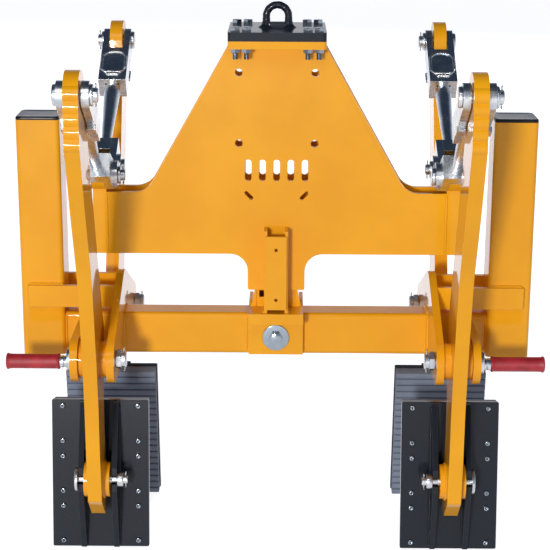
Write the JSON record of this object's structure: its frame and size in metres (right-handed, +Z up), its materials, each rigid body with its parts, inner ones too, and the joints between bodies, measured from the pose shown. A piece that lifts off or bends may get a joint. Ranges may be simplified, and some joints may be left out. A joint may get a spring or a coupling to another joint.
{
  "type": "lifting tongs",
  "caption": "Self-closing lifting tongs: a plate body with a lifting eye hangs over a cross beam whose hinged arms press swivelling rubber-faced pads against a slab.",
  "frame": {"origin": "centre of the lifting eye's opening, where the tongs hang", "axes": "+Z up along the hang line, +X along the cross beam to the right, +Y from the front arms to the rear arms"},
  "size_m": [0.963, 0.791, 1.0042],
  "materials": {
    "yellow_paint": "gloss enamel",
    "black_coat": "satin powder coat",
    "zinc_plate": "zinc plated",
    "zinc_fastener": "bright zinc",
    "grey_rubber": "matte",
    "red_grip": "satin",
    "cap_plastic": "matte"
  },
  "bodies": {
    "lifting_body": {"front_body_plate": "yellow_paint", "rear_body_plate": "yellow_paint", "body_flange": "yellow_paint", "eye_plate": "black_coat", "lifting_eye": "black_coat", "eye_plate_bolts": "zinc_fastener", "eye_plate_nuts": "zinc_fastener", "left_link_lug": "yellow_paint", "right_link_lug": "yellow_paint", "lug_pins": "zinc_plate"},
    "base_frame": {"cross_beam": "yellow_paint", "left_upright": "yellow_paint", "right_upright": "yellow_paint", "upright_caps": "cap_plastic", "left_inner_cheek": "yellow_paint", "left_outer_cheek": "yellow_paint", "right_inner_cheek": "yellow_paint", "right_outer_cheek": "yellow_paint", "brace_bars": "yellow_paint", "saddle": "yellow_paint", "saddle_bolt": "zinc_fastener", "saddle_washers": "zinc_fastener", "front_guide": "yellow_paint", "rear_guide": "yellow_paint", "guide_post": "yellow_paint", "guide_pin": "zinc_plate", "pivot_pins": "zinc_plate", "pivot_nuts": "zinc_plate", "grips": "red_grip"},
    "front_left_arm": {"front_left_arm": "yellow_paint"},
    "front_left_link": {"front_left_link": "zinc_plate", "front_left_link_pin": "zinc_plate"},
    "front_left_pad": {"front_left_pad_carrier": "black_coat", "front_left_pad_rubber": "grey_rubber", "front_left_pad_screws": "zinc_fastener", "front_left_pad_pin": "zinc_plate"},
    "rear_left_arm": {"rear_left_arm": "yellow_paint"},
    "rear_left_link": {"rear_left_link": "zinc_plate", "rear_left_link_pin": "zinc_plate"},
    "rear_left_pad": {"rear_left_pad_carrier": "black_coat", "rear_left_pad_rubber": "grey_rubber", "rear_left_pad_screws": "zinc_fastener", "rear_left_pad_pin": "zinc_plate"},
    "front_right_arm": {"front_right_arm": "yellow_paint"},
    "front_right_link": {"front_right_link": "zinc_plate", "front_right_link_pin": "zinc_plate"},
    "front_right_pad": {"front_right_pad_carrier": "black_coat", "front_right_pad_rubber": "grey_rubber", "front_right_pad_screws": "zinc_fastener", "front_right_pad_pin": "zinc_plate"},
    "rear_right_arm": {"rear_right_arm": "yellow_paint"},
    "rear_right_link": {"rear_right_link": "zinc_plate", "rear_right_link_pin": "zinc_plate"},
    "rear_right_pad": {"rear_right_pad_carrier": "black_coat", "rear_right_pad_rubber": "grey_rubber", "rear_right_pad_screws": "zinc_fastener", "rear_right_pad_pin": "zinc_plate"}
  },
  "joints": [
    {"name": "base_slide", "type": "slide", "parent": "lifting_body", "child": "base_frame", "axis": [0, 0, 1], "range_m": [0, 0.034]},
    {"name": "front_left_arm_swing", "type": "hinge", "parent": "base_frame", "child": "front_left_arm", "pos_m": [-0.325, -0.182, -0.592], "axis": [-1, 0, 0], "range_deg": [0, 3.47]},
    {"name": "front_left_link_swing", "type": "hinge", "parent": "lifting_body", "child": "front_left_link", "pos_m": [-0.325, -0.032, -0.287], "axis": [-1, 0, 0], "range_deg": [0, 8.11]},
    {"name": "front_left_pad_swivel", "type": "hinge", "parent": "front_left_arm", "child": "front_left_pad", "pos_m": [-0.325, -0.17, -0.829], "axis": [1, 0, 0], "range_deg": [0, 16]},
    {"name": "rear_left_arm_swing", "type": "hinge", "parent": "base_frame", "child": "rear_left_arm", "pos_m": [-0.325, 0.182, -0.592], "axis": [1, 0, 0], "range_deg": [0, 3.47]},
    {"name": "rear_left_link_swing", "type": "hinge", "parent": "lifting_body", "child": "rear_left_link", "pos_m": [-0.325, 0.032, -0.287], "axis": [1, 0, 0], "range_deg": [0, 8.11]},
    {"name": "rear_left_pad_swivel", "type": "hinge", "parent": "rear_left_arm", "child": "rear_left_pad", "pos_m": [-0.325, 0.17, -0.829], "axis": [-1, 0, 0], "range_deg": [0, 16]},
    {"name": "front_right_arm_swing", "type": "hinge", "parent": "base_frame", "child": "front_right_arm", "pos_m": [0.325, -0.182, -0.592], "axis": [-1, 0, 0], "range_deg": [0, 3.47]},
    {"name": "front_right_link_swing", "type": "hinge", "parent": "lifting_body", "child": "front_right_link", "pos_m": [0.325, -0.032, -0.287], "axis": [-1, 0, 0], "range_deg": [0, 8.11]},
    {"name": "front_right_pad_swivel", "type": "hinge", "parent": "front_right_arm", "child": "front_right_pad", "pos_m": [0.325, -0.17, -0.829], "axis": [1, 0, 0], "range_deg": [0, 16]},
    {"name": "rear_right_arm_swing", "type": "hinge", "parent": "base_frame", "child": "rear_right_arm", "pos_m": [0.325, 0.182, -0.592], "axis": [1, 0, 0], "range_deg": [0, 3.47]},
    {"name": "rear_right_link_swing", "type": "hinge", "parent": "lifting_body", "child": "rear_right_link", "pos_m": [0.325, 0.032, -0.287], "axis": [1, 0, 0], "range_deg": [0, 8.11]},
    {"name": "rear_right_pad_swivel", "type": "hinge", "parent": "rear_right_arm", "child": "rear_right_pad", "pos_m": [0.325, 0.17, -0.829], "axis": [-1, 0, 0], "range_deg": [0, 16]}
  ],
  "couplings": [
    {"joint": "front_left_arm_swing", "follows": "base_slide", "rad_per_m": 1.7723},
    {"joint": "front_left_link_swing", "follows": "base_slide", "rad_per_m": 4.1544},
    {"joint": "rear_left_arm_swing", "follows": "base_slide", "rad_per_m": 1.7723},
    {"joint": "rear_left_link_swing", "follows": "base_slide", "rad_per_m": 4.1544},
    {"joint": "front_right_arm_swing", "follows": "base_slide", "rad_per_m": 1.7723},
    {"joint": "front_right_link_swing", "follows": "base_slide", "rad_per_m": 4.1544},
    {"joint": "rear_right_arm_swing", "follows": "base_slide", "rad_per_m": 1.7723},
    {"joint": "rear_right_link_swing", "follows": "base_slide", "rad_per_m": 4.1544}
  ]
}
